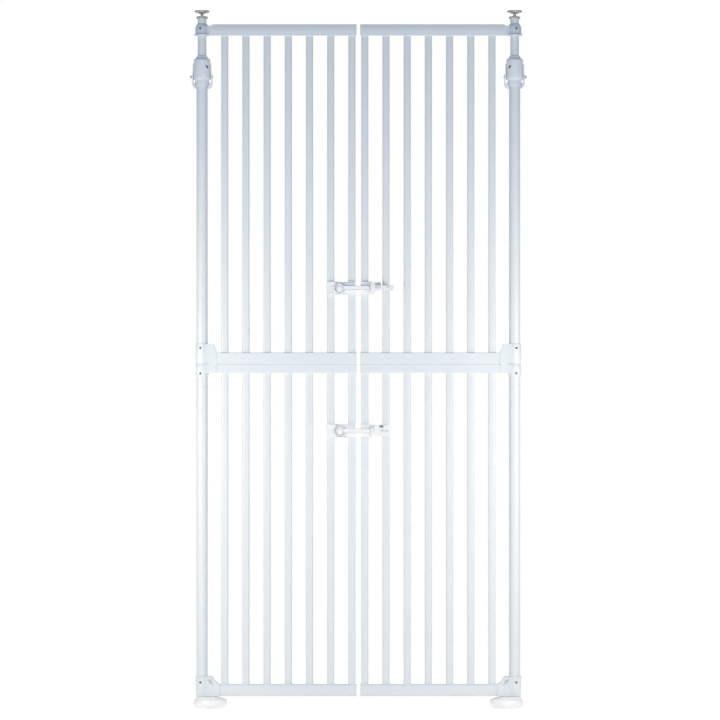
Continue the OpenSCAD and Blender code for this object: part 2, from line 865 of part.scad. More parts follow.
bottom_tube(LEFT);  // left_bottom_tube
bottom_tube(RIGHT);  // right_bottom_tube
middle_tube(LEFT);  // left_middle_tube
middle_tube(RIGHT);  // right_middle_tube
tube_joiners();
foot(LEFT);  // left_foot
foot(RIGHT);  // right_foot
foot_soles();
clamp_housing(LEFT);  // left_clamp_housing
clamp_housing(RIGHT);  // right_clamp_housing
clamp_collets();
jack_pins();
jack_lever(LEFT);  // left_jack_lever
jack_lever(RIGHT);  // right_jack_lever
upper_tube(LEFT);  // left_upper_tube
upper_tube(RIGHT);  // right_upper_tube
tube_plug(LEFT);  // left_tube_plug
tube_plug(RIGHT);  // right_tube_plug
thumb_nut(LEFT);  // left_thumb_nut
thumb_nut(RIGHT);  // right_thumb_nut
adjuster_rod(LEFT);  // left_adjuster_rod
adjuster_rod(RIGHT);  // right_adjuster_rod
ceiling_disc(LEFT);  // left_ceiling_disc
ceiling_disc(RIGHT);  // right_ceiling_disc
ceiling_pad(LEFT);  // left_ceiling_pad
ceiling_pad(RIGHT);  // right_ceiling_pad
top_rail(LEFT);  // left_top_rail
top_rail(RIGHT);  // right_top_rail
upper_bars(LEFT);  // left_upper_bars
upper_bars(RIGHT);  // right_upper_bars
upper_panel_rail(LEFT);  // left_upper_panel_rail
upper_panel_rail(RIGHT);  // right_upper_panel_rail
lower_panel_rail(LEFT);  // left_lower_panel_rail
lower_panel_rail(RIGHT);  // right_lower_panel_rail
lower_bars(LEFT);  // left_lower_bars
lower_bars(RIGHT);  // right_lower_bars
bottom_rail(LEFT);  // left_bottom_rail
bottom_rail(RIGHT);  // right_bottom_rail
top_bracket(LEFT);  // left_top_bracket
top_bracket(RIGHT);  // right_top_bracket
upper_panel_bracket(LEFT);  // left_upper_panel_bracket
upper_panel_bracket(RIGHT);  // right_upper_panel_bracket
lower_panel_bracket(LEFT);  // left_lower_panel_bracket
lower_panel_bracket(RIGHT);  // right_lower_panel_bracket
bottom_bracket(LEFT);  // left_bottom_bracket
bottom_bracket(RIGHT);  // right_bottom_bracket
rail_caps(LEFT);  // left_rail_caps
rail_caps(RIGHT);  // right_rail_caps
door_screws(LEFT);  // left_door_screws
door_screws(RIGHT);  // right_door_screws
latch_base(upper_latch_z);  // upper_latch_base
latch_base(lower_latch_z);  // lower_latch_base
latch_clamps();
latch_pins();
latch_arm(upper_latch_z);  // upper_latch_arm
latch_arm(lower_latch_z);  // lower_latch_arm
latch_keepers();
keeper_clamps();
slide_lock(upper_latch_z);  // upper_slide_lock
slide_lock(lower_latch_z);  // lower_slide_lock
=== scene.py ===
"""Pet gate: finishes, moulded detail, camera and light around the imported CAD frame.

Metres. X runs across the doorway, -Y is the front, Z is up from the floor. Pieces that
belong to a pole are built for the left one, with u running from the pole's centre towards
the middle of the gate, and mirrored for the right one.
"""

import json
import math

import bmesh
import bpy
from mathutils import Matrix, Vector


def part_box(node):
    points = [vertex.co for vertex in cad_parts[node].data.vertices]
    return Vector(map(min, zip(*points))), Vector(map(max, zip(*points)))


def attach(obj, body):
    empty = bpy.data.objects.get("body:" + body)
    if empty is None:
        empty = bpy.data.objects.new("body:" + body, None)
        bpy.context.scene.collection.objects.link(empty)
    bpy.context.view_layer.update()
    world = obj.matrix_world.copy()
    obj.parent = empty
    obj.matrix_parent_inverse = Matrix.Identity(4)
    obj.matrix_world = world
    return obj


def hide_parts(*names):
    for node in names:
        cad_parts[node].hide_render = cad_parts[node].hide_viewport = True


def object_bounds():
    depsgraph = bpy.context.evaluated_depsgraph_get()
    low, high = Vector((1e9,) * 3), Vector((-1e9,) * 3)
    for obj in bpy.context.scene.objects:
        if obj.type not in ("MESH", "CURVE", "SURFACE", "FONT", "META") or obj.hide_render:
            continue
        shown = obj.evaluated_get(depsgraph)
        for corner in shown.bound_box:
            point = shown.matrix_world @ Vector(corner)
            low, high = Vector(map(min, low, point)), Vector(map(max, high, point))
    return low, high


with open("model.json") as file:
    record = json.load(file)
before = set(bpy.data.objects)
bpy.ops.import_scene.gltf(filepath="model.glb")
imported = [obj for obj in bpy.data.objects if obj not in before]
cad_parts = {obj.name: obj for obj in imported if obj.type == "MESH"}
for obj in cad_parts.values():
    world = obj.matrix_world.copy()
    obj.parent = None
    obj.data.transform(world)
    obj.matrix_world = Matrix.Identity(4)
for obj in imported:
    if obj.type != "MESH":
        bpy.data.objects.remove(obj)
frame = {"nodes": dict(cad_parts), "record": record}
cad_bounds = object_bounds()

NODES = frame["nodes"]
SLOT_OF = {s["node"]: s["material_slot"] for s in frame["record"]["subparts"]}
BODY_OF = {n: b for b, nodes in frame["record"]["behaviour"]["bodies"].items() for n in nodes}
SIDES = ("left", "right")
MM = 0.001
TURN = 2 * math.pi


# ---------------------------------------------------------------- materials

COAT_ROUGHNESS = 0.18
NOISE_LOW, NOISE_HIGH = 0.3, 0.7


def new_material(name, colour, roughness, metallic=0.0, coat=0.0, specular=0.5):
    """A Principled material with its even values on the shader's own sockets."""
    material = bpy.data.materials.new(name)
    material.use_nodes = True
    tree = material.node_tree
    shader = tree.nodes["Principled BSDF"]
    shader.inputs["Base Color"].default_value = (*colour, 1.0)
    shader.inputs["Roughness"].default_value = roughness
    shader.inputs["Metallic"].default_value = metallic
    shader.inputs["Specular IOR Level"].default_value = specular
    shader.inputs["Coat Weight"].default_value = coat
    shader.inputs["Coat Roughness"].default_value = COAT_ROUGHNESS
    return material, tree, shader


def noise(tree, scale, detail, stretch=(1.0, 1.0, 1.0)):
    """A noise texture in the object's own coordinates, scale in cells per metre."""
    coordinates = tree.nodes.new("ShaderNodeTexCoord")
    mapping = tree.nodes.new("ShaderNodeMapping")
    mapping.inputs["Scale"].default_value = stretch
    texture = tree.nodes.new("ShaderNodeTexNoise")
    texture.inputs["Scale"].default_value = scale
    texture.inputs["Detail"].default_value = detail
    tree.links.new(coordinates.outputs["Object"], mapping.inputs["Vector"])
    tree.links.new(mapping.outputs["Vector"], texture.inputs["Vector"])
    return texture.outputs["Fac"]


def between(tree, factor, low, high):
    """Turns the span that a noise mostly keeps to into one from low to high."""
    ramp = tree.nodes.new("ShaderNodeMapRange")
    ramp.inputs["From Min"].default_value = NOISE_LOW
    ramp.inputs["From Max"].default_value = NOISE_HIGH
    ramp.inputs["To Min"].default_value = low
    ramp.inputs["To Max"].default_value = high
    tree.links.new(factor, ramp.inputs["Value"])
    return ramp.outputs["Result"]


def mix(tree, factor, first, second):
    """A socket that mixes two colours by factor."""
    node = tree.nodes.new("ShaderNodeMix")
    node.data_type = "RGBA"
    tree.links.new(factor, node.inputs["Factor"])
    for socket, colour in zip([s for s in node.inputs if s.type == "RGBA"], (first, second)):
        socket.default_value = (*colour, 1.0)
    return [s for s in node.outputs if s.type == "RGBA"][0]


def bump(tree, shader, height, strength, distance):
    """Raises the surface by a height socket, distance in metres."""
    node = tree.nodes.new("ShaderNodeBump")
    node.inputs["Strength"].default_value = strength
    node.inputs["Distance"].default_value = distance
    tree.links.new(height, node.inputs["Height"])
    tree.links.new(node.outputs["Normal"], shader.inputs["Normal"])


def cloudy(tree, shader, colour, darkest, cloud):
    """Lets the colour drift between itself and darkest times itself, along a noise."""
    dark = tuple(c * darkest for c in colour)
    tree.links.new(mix(tree, between(tree, cloud, 0.0, 1.0), dark, colour), shader.inputs["Base Color"])


def uneven(tree, shader, smoothest, roughest, patches):
    """Lets the roughness drift along a noise."""
    tree.links.new(between(tree, patches, smoothest, roughest), shader.inputs["Roughness"])


def powder_coat(name, colour):
    """Satin powder coat: fine orange peel, faint cloudiness, uneven sheen."""
    material, tree, shader = new_material(name, colour, 0.4, coat=0.12)
    cloudy(tree, shader, colour, 0.975, noise(tree, 9.0, 3.0))
    uneven(tree, shader, 0.34, 0.46, noise(tree, 35.0, 4.0))
    bump(tree, shader, noise(tree, 1100.0, 2.0), 0.12, 0.0002)
    return material


def moulded_plastic(name, colour, roughness, grain=0.08):
    """Injection moulded plastic with a fine spark-eroded grain."""
    material, tree, shader = new_material(name, colour, roughness, specular=0.45)
    cloudy(tree, shader, colour, 0.98, noise(tree, 40.0, 2.0))
    uneven(tree, shader, roughness - 0.05, roughness + 0.06, noise(tree, 120.0, 3.0))
    bump(tree, shader, noise(tree, 2600.0, 2.0), grain, 0.0001)
    return material


def plated_metal(name, colour, roughness):
    """Zinc plated steel with fine turning marks and a slightly cloudy plate."""
    material, tree, shader = new_material(name, colour, roughness, metallic=1.0)
    cloudy(tree, shader, colour, 0.86, noise(tree, 160.0, 4.0))
    uneven(tree, shader, roughness - 0.07, roughness + 0.1, noise(tree, 500.0, 3.0))
    bump(tree, shader, noise(tree, 900.0, 2.0, (0.2, 0.2, 4.0)), 0.1, 0.0001)
    return material


def rubber(name, colour):
    """Matt rubber with a coarse grain."""
    material, tree, shader = new_material(name, colour, 0.75, specular=0.3)
    cloudy(tree, shader, colour, 0.8, noise(tree, 80.0, 4.0))
    bump(tree, shader, noise(tree, 1500.0, 3.0), 0.3, 0.0002)
    return material


WHITE = (0.76, 0.80, 0.84)
MATERIALS = {
    "pole_paint": powder_coat("pole_paint", WHITE),
    "frame_paint": powder_coat("frame_paint", WHITE),
    "bracket_plastic": moulded_plastic("bracket_plastic", (0.77, 0.81, 0.85), 0.38),
    "clamp_plastic": moulded_plastic("clamp_plastic", (0.84, 0.87, 0.90), 0.36),
    "foot_plastic": moulded_plastic("foot_plastic", (0.98, 0.98, 0.985), 0.22, 0.03),
    "latch_plastic": moulded_plastic("latch_plastic", (0.86, 0.875, 0.895), 0.34),
    "trim_plastic": moulded_plastic("trim_plastic", (0.76, 0.80, 0.845), 0.46),
    "plated_steel": plated_metal("plated_steel", (0.84, 0.79, 0.73), 0.28),
    "screw_steel": plated_metal("screw_steel", (0.24, 0.25, 0.26), 0.38),
    "rubber": rubber("rubber", (0.055, 0.056, 0.06)),
}


# ---------------------------------------------------------------- mesh tools

SHARP_DEG = 35
FLAT_DEG = 0.5
WELD = 1e-6


def smooth_group():
    """Geometry nodes that shade smooth and keep edges sharper than SHARP_DEG."""
    group = bpy.data.node_groups.new("smooth_by_angle", "GeometryNodeTree")
    group.interface.new_socket("Geometry", in_out="INPUT", socket_type="NodeSocketGeometry")
    group.interface.new_socket("Geometry", in_out="OUTPUT", socket_type="NodeSocketGeometry")
    start = group.nodes.new("NodeGroupInput")
    end = group.nodes.new("NodeGroupOutput")
    faces = group.nodes.new("GeometryNodeSetShadeSmooth")
    edges = group.nodes.new("GeometryNodeSetShadeSmooth")
    edges.domain = "EDGE"
    angle = group.nodes.new("GeometryNodeInputMeshEdgeAngle")
    gentle = group.nodes.new("FunctionNodeCompare")
    gentle.data_type = "FLOAT"
    gentle.operation = "LESS_THAN"
    gentle.inputs["B"].default_value = math.radians(SHARP_DEG)
    group.links.new(angle.outputs["Unsigned Angle"], gentle.inputs["A"])
    group.links.new(start.outputs["Geometry"], faces.inputs["Geometry"])
    group.links.new(faces.outputs["Geometry"], edges.inputs["Geometry"])
    group.links.new(gentle.outputs["Result"], edges.inputs["Shade Smooth"])
    group.links.new(edges.outputs["Geometry"], end.inputs["Geometry"])
    return group


SMOOTH = smooth_group()


def smooth(obj):
    """Shades an object smooth between its sharp edges."""
    obj.modifiers.new("smooth", "NODES").node_group = SMOOTH


def round_edges(obj, width, segments=3):
    """Rounds an object's sharp edges and shades it smooth, leaving its own mesh alone."""
    weld = obj.modifiers.new("weld", "WELD")
    weld.merge_threshold = WELD
    flat = obj.modifiers.new("flat", "DECIMATE")
    flat.decimate_type = "DISSOLVE"
    flat.angle_limit = math.radians(FLAT_DEG)
    edge = obj.modifiers.new("edge", "BEVEL")
    edge.width = width
    edge.segments = segments
    edge.limit_method = "ANGLE"
    edge.angle_limit = math.radians(SHARP_DEG)
    smooth(obj)


def fillet(points, radius, steps):
    """A closed outline with its corners rounded; radius is one value or one for each corner."""
    count = len(points)
    radii = radius if isinstance(radius, (list, tuple)) else [radius] * count
    outline = []
    for i, r in enumerate(radii):
        before, corner, after = (Vector(points[(i + k) % count]) for k in (-1, 0, 1))
        if r <= 0:
            outline.append(tuple(corner))
            continue
        to_before, to_after = before - corner, after - corner
        half = to_before.angle(to_after) / 2
        reach = min(r / math.tan(half), 0.49 * to_before.length, 0.49 * to_after.length)
        first = corner + to_before.normalized() * reach
        last = corner + to_after.normalized() * reach
        for k in range(steps + 1):
            t = k / steps
            outline.append(tuple(first * (1 - t) ** 2 + corner * 2 * t * (1 - t) + last * t ** 2))
    return outline


def bezier(points, steps):
    """Points along a cubic curve, from its start, two handles and end."""
    start, first, second, end = (Vector(p) for p in points)
    curve = []
    for i in range(steps + 1):
        t = i / steps
        curve.append(tuple(start * (1 - t) ** 3 + first * 3 * t * (1 - t) ** 2
                           + second * 3 * t ** 2 * (1 - t) + end * t ** 3))
    return curve


def circle(x, z, r, steps):
    """A circle's outline."""
    return [(x + r * math.cos(TURN * i / steps), z + r * math.sin(TURN * i / steps))
            for i in range(steps)]


def capsule(length, height, steps=10):
    """A slot's outline, centred, with round ends."""
    r, half = height / 2, (length - height) / 2
    right = [(half + r * math.cos(a), r * math.sin(a))
             for a in (math.pi * (i / steps - 0.5) for i in range(steps + 1))]
    return right + [(-x, -z) for x, z in right]


def ring(r, z, steps, x=0.0):
    """A level circle of points round a line along Z at x."""
    return [(x + r * a, r * b, z) for a, b in circle(0, 0, 1, steps)]


def loft(rings, closed=False):
    """Joins rings of points in turn and caps both ends, or joins the last to the first."""
    bm = bmesh.new()
    loops = [[bm.verts.new(p) for p in ring] for ring in rings]
    count = len(rings[0])
    for a, b in zip(loops, loops[1:] + loops[:1] if closed else loops[1:]):
        for i in range(count):
            j = (i + 1) % count
            bm.faces.new((a[i], a[j], b[j], b[i]))
    if not closed:
        bm.faces.new(loops[0][::-1])
        bm.faces.new(loops[-1])
    bmesh.ops.recalc_face_normals(bm, faces=bm.faces)
    return bm


def lathe(profile, steps=72, closed=False):
    """A solid of revolution about Z from (radius, height) points."""
    return loft([ring(r, z, steps) for r, z in profile], closed)


def prism(outline, y0, y1):
    """An outline in X and Z given a thickness from y0 to y1."""
    return loft([[(x, y, z) for x, z in outline] for y in (y0, y1)])


def rectangle(x0, x1, z0, z1):
    """A rectangle's outline."""
    return [(x0, z0), (x1, z0), (x1, z1), (x0, z1)]


def moved(bm, *matrices):
    """The bmesh moved by each matrix in turn, its faces kept outward by a mirror."""
    for matrix in matrices:
        bm.transform(matrix)
    if math.prod(m.to_3x3().determinant() for m in matrices) < 0:
        bmesh.ops.reverse_faces(bm, faces=bm.faces)
    return bm


def shift(x=0.0, y=0.0, z=0.0):
    """A matrix that moves."""
    return Matrix.Translation((x, y, z))


def turn(degrees, axis):
    """A matrix that turns about an axis through the origin."""
    return Matrix.Rotation(math.radians(degrees), 4, axis)


def joined(parts):
    """Several bmeshes as one."""
    whole = bmesh.new()
    for part in parts:
        mesh = bpy.data.meshes.new("part")
        part.to_mesh(mesh)
        part.free()
        whole.from_mesh(mesh)
        bpy.data.meshes.remove(mesh)
    return whole


def new_object(name, bm):
    """An object in the scene with the bmesh as its mesh."""
    mesh = bpy.data.meshes.new(name)
    bm.to_mesh(mesh)
    bm.free()
    obj = bpy.data.objects.new(name, mesh)
    bpy.context.scene.collection.objects.link(obj)
    return obj


def copy_of(node):
    """A carried-over part's mesh, welded and with its flats whole, as a bmesh to work on."""
    bm = bmesh.new()
    bm.from_mesh(NODES[node].data)
    bmesh.ops.remove_doubles(bm, verts=bm.verts, dist=WELD)
    bmesh.ops.dissolve_limit(bm, angle_limit=math.radians(FLAT_DEG), verts=bm.verts, edges=bm.edges)
    return bm


def carve(bm, cuts, adds=()):
    """The bmesh with solids added and others cut away; solids of one kind don't overlap."""
    for operation, solids in (("UNION", adds), ("DIFFERENCE", cuts)):
        if not solids:
            continue
        base, tool = new_object("base", bm), new_object("tool", joined(solids))
        modifier = base.modifiers.new("cut", "BOOLEAN")
        modifier.operation = operation
        modifier.object = tool
        mesh = bpy.data.meshes.new_from_object(base.evaluated_get(bpy.context.evaluated_depsgraph_get()))
        bm = bmesh.new()
        bm.from_mesh(mesh)
        for obj in (base, tool):
            old = obj.data
            bpy.data.objects.remove(obj)
            bpy.data.meshes.remove(old)
        bpy.data.meshes.remove(mesh)
        bmesh.ops.dissolve_limit(bm, angle_limit=math.radians(0.3), verts=bm.verts, edges=bm.edges)
    return bm


def paint(obj, slot):
    """Gives an object a slot's finish."""
    obj.data.materials.clear()
    obj.data.materials.append(MATERIALS[slot])


def piece(name, bm, like, replaces=(), edge=0.0, segments=2, slot=None):
    """A finished piece that rides with the node it is like and takes its finish from it."""
    obj = new_object(name, bm)
    paint(obj, slot or SLOT_OF[like])
    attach(obj, BODY_OF[like])
    if replaces:
        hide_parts(*replaces)
    if edge:
        round_edges(obj, edge, segments)
    else:
        smooth(obj)


def pole_place(side):
    """Places what was built for the left pole, in u, on either pole."""
    low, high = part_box(f"{side}_upper_tube")
    x = (low[0] + high[0]) / 2
    return (shift(x),) if side == "left" else (Matrix.Scale(-1, 4, (1, 0, 0)), shift(x))


def copy_of_left(node, side):
    """A copy of a pole's part, brought to u for the left pole."""
    bm = copy_of(node)
    x = pole_place(side)[-1].translation.x
    if side == "left":
        return moved(bm, shift(-x))
    return moved(bm, shift(-x), Matrix.Scale(-1, 4, (1, 0, 0)))


def pole_piece(side, name, bm, node, replaces=True, **finish):
    """A piece built for the left pole, put on either pole in the node's place or beside it."""
    replaced = (node,) if replaces else ()
    piece(f"{side}_{name}", moved(bm, *pole_place(side)), node, replaced, **finish)


def u_range(node, side):
    """A node's extent measured from its pole towards the middle of the gate."""
    low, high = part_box(node)
    pole = pole_place(side)[-1].translation.x
    return (low[0] - pole, high[0] - pole) if side == "left" else (pole - high[0], pole - low[0])


def islands(node):
    """The low and high corners of each separate solid of a node."""
    bm = copy_of(node)
    seen, found = set(), []
    for first in bm.verts:
        if first in seen:
            continue
        group, queue = [], [first]
        seen.add(first)
        while queue:
            vert = queue.pop()
            group.append(vert.co.copy())
            for edge in vert.link_edges:
                other = edge.other_vert(vert)
                if other not in seen:
                    seen.add(other)
                    queue.append(other)
        found.append((Vector([min(c[i] for c in group) for i in range(3)]),
                      Vector([max(c[i] for c in group) for i in range(3)])))
    bm.free()
    return found


# ---------------------------------------------------------------- feet

# Rings of a foot's dome: the share of its height, and how far the outer and inner ends draw in, in mm
DOME = [(0.00, 6.2, 6.2), (0.04, 4.6, 4.8), (0.12, 2.2, 2.6), (0.22, 0.5, 0.7), (0.34, 0.0, 0.0),
        (0.50, 1.2, 0.0), (0.62, 2.9, 0.0), (0.67, 3.6, 0.4), (0.71, 4.3, 1.8), (0.78, 5.2, 8.0),
        (0.87, 6.4, 17.0), (0.94, 7.4, 24.5), (0.98, 8.3, 29.5), (1.00, 9.6, 33.5)]
DOME_STEPS = 96


def foot(side):
    """A skewed dome on a skirt, steep outside, with a long slope towards the doorway."""
    node = f"{side}_foot"
    low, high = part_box(node)
    u0, u1 = u_range(node, side)
    base, top, width = low[2], high[2], u1 - u0
    pole_r = (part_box(f"{side}_bottom_tube")[1][0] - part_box(f"{side}_bottom_tube")[0][0]) / 2
    rise = top - base - 0.3 * MM
    skirt_r = (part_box("foot_soles")[1][1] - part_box("foot_soles")[0][1]) / 2 + 0.2 * MM
    centre, skirt_z = (u0 + u1) / 2, 0.4 * MM
    skirt = ((skirt_r, base), (skirt_r, skirt_z), (width / 2 - 7 * MM, skirt_z))
    socket = ((pole_r + 1.2 * MM, base + rise), (pole_r + 0.3 * MM, base + rise - 0.6 * MM),
              (pole_r + 0.3 * MM, base + rise * 0.4))
    rings = [ring(r, z, DOME_STEPS, centre) for r, z in skirt]
    for share, outer, inner in DOME:
        a, b = u0 + outer * MM, u0 + width - inner * MM
        rings.append(ring((b - a) / 2, base + rise * share, DOME_STEPS, (a + b) / 2))
    rings += [ring(r, z, DOME_STEPS) for r, z in socket]
    pole_piece(side, "foot_cover", loft(rings), node)


# ---------------------------------------------------------------- clamps and levers

def clamp_housing(side):
    """The clamp's shell, with its release slot on the doorway side and a parting line, and a dark insert sunk
    in the slot as painted shade.
    """
    node = f"{side}_clamp_housing"
    low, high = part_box(node)
    z0, z1 = low[2], high[2]
    r = (high[0] - low[0]) / 2
    bore, cap_r, shoulder = 11.6 * MM, 14.7 * MM, 6.5 * MM
    cap_z, slot_z, pin_z = z1 - 5 * MM, z0 + 32.5 * MM, z0 + 7 * MM
    across_slot = (turn(45, "Y"), shift(z=slot_z), turn(39, "Z"))
    profile = [(bore, z0), (r - 1.2 * MM, z0), (r - 0.35 * MM, z0 + 0.35 * MM), (r, z0 + 1.2 * MM),
               (r - 0.1 * MM, z0 + 9.0 * MM), (r - 0.5 * MM, z0 + 9.4 * MM),
               (r - 0.5 * MM, z0 + 10.2 * MM), (r - 0.15 * MM, z0 + 10.6 * MM),
               (r - 0.8 * MM, cap_z - shoulder)]
    for a in range(15, 91, 15):
        profile.append((r - 0.8 * MM - shoulder + shoulder * math.cos(math.radians(a)),
                        cap_z - shoulder + shoulder * math.sin(math.radians(a))))
    profile += [(cap_r + 0.1 * MM, cap_z), (cap_r, cap_z + 0.5 * MM), (cap_r, z1 - 0.8 * MM),
                (cap_r - 0.8 * MM, z1), (bore, z1)]
    shell = lathe(profile, 96, closed=True)
    slot = moved(prism(capsule(10.5 * MM, 4.2 * MM), -r - 4 * MM, -r + 2.4 * MM), *across_slot)
    pin = moved(prism(circle(0, 0, 2.6 * MM, 24), -40 * MM, 40 * MM), turn(90, "Z"), shift(z=pin_z))
    pole_piece(side, "clamp_shell", carve(shell, [slot, pin]), node)
    # Painted shade: a dark rubber insert sits where the slot's hollow would be shaded, so that the slot reads
    # dark.
    slot_shade_insert = moved(prism(capsule(10.1 * MM, 3.8 * MM), -r + 0.7 * MM, -r + 2.3 * MM), *across_slot)
    pole_piece(side, "painted_slot_shade", slot_shade_insert, node, False, edge=0.3 * MM, slot="rubber")


def lever_ribs(side):
    """Finger ribs across the back of the jack lever's handle."""
    node = f"{side}_jack_lever"
    low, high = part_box(node)
    back, half_w, half_h = high[1], 9 * MM, 0.9 * MM
    ribs = []
    for i in range(6):
        z = low[2] + (7 + 5.5 * i) * MM
        outline = fillet(rectangle(-half_w, half_w, z - half_h, z + half_h), 0.8 * MM, 3)
        ribs.append(prism(outline, back - 0.4 * MM, back + 0.7 * MM))
    pole_piece(side, "lever_ribs", joined(ribs), node, False, edge=0.3 * MM)


# ---------------------------------------------------------------- ceiling adjusters

def thumb_nut(side):
    """A knurled nut with chamfered rims and a raised hub."""
    node = f"{side}_thumb_nut"
    low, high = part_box(node)
    z0, z1 = low[2], high[2]
    r = (high[0] - low[0]) / 2
    bore, hub_r, hub_h = 4.1 * MM, 7.5 * MM, 1 * MM
    teeth, tooth = 36, (0.0, 0.0, 0.75, 0.75)
    steps = teeth * len(tooth)

    def knurl(radius, z):
        depths = [1 - tooth[i % len(tooth)] * MM / radius for i in range(steps)]
        return [(x * d, y * d, z) for (x, y, z), d in zip(ring(radius, z, steps), depths)]

    disc_top = z1 - hub_h
    rings = [ring(bore, z0, steps), ring(r - 1.3 * MM, z0, steps), knurl(r, z0 + 0.9 * MM),
             knurl(r, disc_top - 0.9 * MM), ring(r - 1.3 * MM, disc_top, steps),
             ring(hub_r + 0.3 * MM, disc_top, steps), ring(hub_r, disc_top + 0.2 * MM, steps),
             ring(hub_r - 0.3 * MM, z1, steps), ring(bore, z1, steps)]
    pole_piece(side, "knurled_nut", loft(rings, closed=True), node)


def threaded_rod(side):
    """The rod with an M8 thread on it."""
    node = f"{side}_adjuster_rod"
    low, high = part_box(node)
    r = (high[0] - low[0]) / 2
    pitch, cut = 1.25 * MM, 0.65 * MM
    steps, per_turn = 28, 4
    levels = round((high[2] - low[2]) / pitch * per_turn)
    rings = []
    for k in range(levels + 1):
        z = low[2] + (high[2] - low[2]) * k / levels
        phases = [(k / per_turn - i / steps) % 1.0 for i in range(steps)]
        radii = [r - cut * (1 - abs(2 * phase - 1)) for phase in phases]
        rings.append([(radius * a, radius * b, z) for radius, (a, b) in zip(radii, circle(0, 0, 1, steps))])
    pole_piece(side, "threaded_rod", loft(rings), node)


def ceiling_disc(side):
    """The disc with a rolled rim that wraps the rubber face."""
    node = f"{side}_ceiling_disc"
    low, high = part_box(node)
    r = (high[0] - low[0]) / 2
    pad_r = r - 1 * MM
    rim_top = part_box(f"{side}_ceiling_pad")[1][2] - 0.5 * MM
    rim = lathe([(pad_r + 0.05 * MM, high[2] - 1 * MM), (r, high[2] - 1 * MM), (r, rim_top - 0.4 * MM),
                 (r - 0.3 * MM, rim_top), (pad_r + 0.05 * MM, rim_top)], 72, closed=True)
    under = lathe([(r - 3.4 * MM, low[2] - 0.5 * MM), (r + 1 * MM, low[2] - 0.5 * MM),
                   (r + 1 * MM, low[2] + 4.6 * MM), (r - 0.15 * MM, low[2] + 4.2 * MM),
                   (r - 0.8 * MM, low[2] + 2.6 * MM), (r - 1.9 * MM, low[2] + 1.2 * MM)], 72, closed=True)
    body = carve(copy_of_left(node, side), [under], [rim])
    pole_piece(side, "rimmed_disc", body, node, edge=0.2 * MM)


# ---------------------------------------------------------------- brackets

COLLAR_HALF = 16.2 * MM
WAIST_FROM = 16.7 * MM
ARM_HALF = 10 * MM
RUNNING = 0.3 * MM


def tapered_web(outline, near, far, reach):
    """A web that thins from near at the pole's centre to far at reach, both half thicknesses."""
    def half(u):
        return near + (far - near) * u / reach
    return loft([[(u, -half(u), z) for u, z in outline], [(u, half(u), z) for u, z in outline]])


def waist_cut(r, z_full, r_small, z_small):
    """Shaves a collar's outer half from radius r at z_full to r_small at z_small."""
    over, past_middle, step = 3 * MM, 4, 4
    section = [(r, z_full), (r_small, z_small), (r + over, z_small), (r + over, z_full)]
    angles = [math.radians(a) for a in range(90 + past_middle, 270 - past_middle + 1, step)]
    return loft([[(q * math.cos(a), q * math.sin(a), z) for q, z in section] for a in angles])


def collar_bore(side, tube):
    """The bore of a collar that turns on a tube."""
    low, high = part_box(f"{side}_{tube}")
    r = (high[1] - low[1]) / 2 + RUNNING
    return lathe([(r, low[2] - 0.1), (r, high[2] + 0.1)])


def top_bracket(side):
    """The top collar, its cheeks drawn in to the slimmer arm."""
    node = f"{side}_top_bracket"
    low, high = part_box(f"{side}_top_rail")
    reach, near, far = 22 * MM, 16.6 * MM, 8 * MM
    outline = rectangle(0, reach, low[2] + 3 * MM, high[2] - 3.8 * MM)
    body = carve(copy_of_left(node, side), [], [tapered_web(outline, near, far, reach)])
    body = carve(body, [collar_bore(side, "upper_tube")])
    pole_piece(side, "top_collar", body, node, edge=0.8 * MM)


# The bottom web's falling edge: its start, two handles and end, in mm from the pole and above the rail
S_CURVE = ((21.5, 21.2), (31.0, 20.8), (28.3, 5.0), (46.3, 0.5))


def bottom_bracket(side):
    """The lowest collar: a waisted sleeve and an S-curved web with slanting grooves."""
    node = f"{side}_bottom_bracket"
    rail_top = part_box(f"{side}_bottom_rail")[1][2]
    z0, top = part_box(node)[0][2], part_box(node)[1][2]
    reach = 30 * MM
    curve = [(u * MM, rail_top + rise * MM) for u, rise in bezier(S_CURVE, 12)]
    above = curve + [(curve[-1][0], top + 9 * MM), (curve[0][0], top + 9 * MM)]
    web = tapered_web(rectangle(0, reach, z0 + 0.2 * MM, top - 0.3 * MM), COLLAR_HALF, ARM_HALF, reach)
    body = carve(copy_of_left(node, side), [prism(above, -2 * ARM_HALF, 2 * ARM_HALF)], [web])
    body = carve(body, [collar_bore(side, "bottom_tube"),
                        waist_cut(WAIST_FROM, z0 + 30 * MM, 15.3 * MM, z0 - 1 * MM)])
    groove_w, bottom, over, tilt = 1.5 * MM, ARM_HALF - 1.3 * MM, ARM_HALF + 5 * MM, 62
    grooves = []
    for i, length in enumerate((12 * MM, 15 * MM, 16 * MM)):
        place = shift((18.6 + 4 * i) * MM, 0, z0 + (38.5 - 2.2 * i) * MM)
        for y0, y1 in ((-over, -bottom), (bottom, over)):
            grooves.append(moved(prism(capsule(length, groove_w, 5), y0, y1), turn(tilt, "Y"), place))
    pole_piece(side, "bottom_collar", carve(body, grooves), node, edge=0.7 * MM)


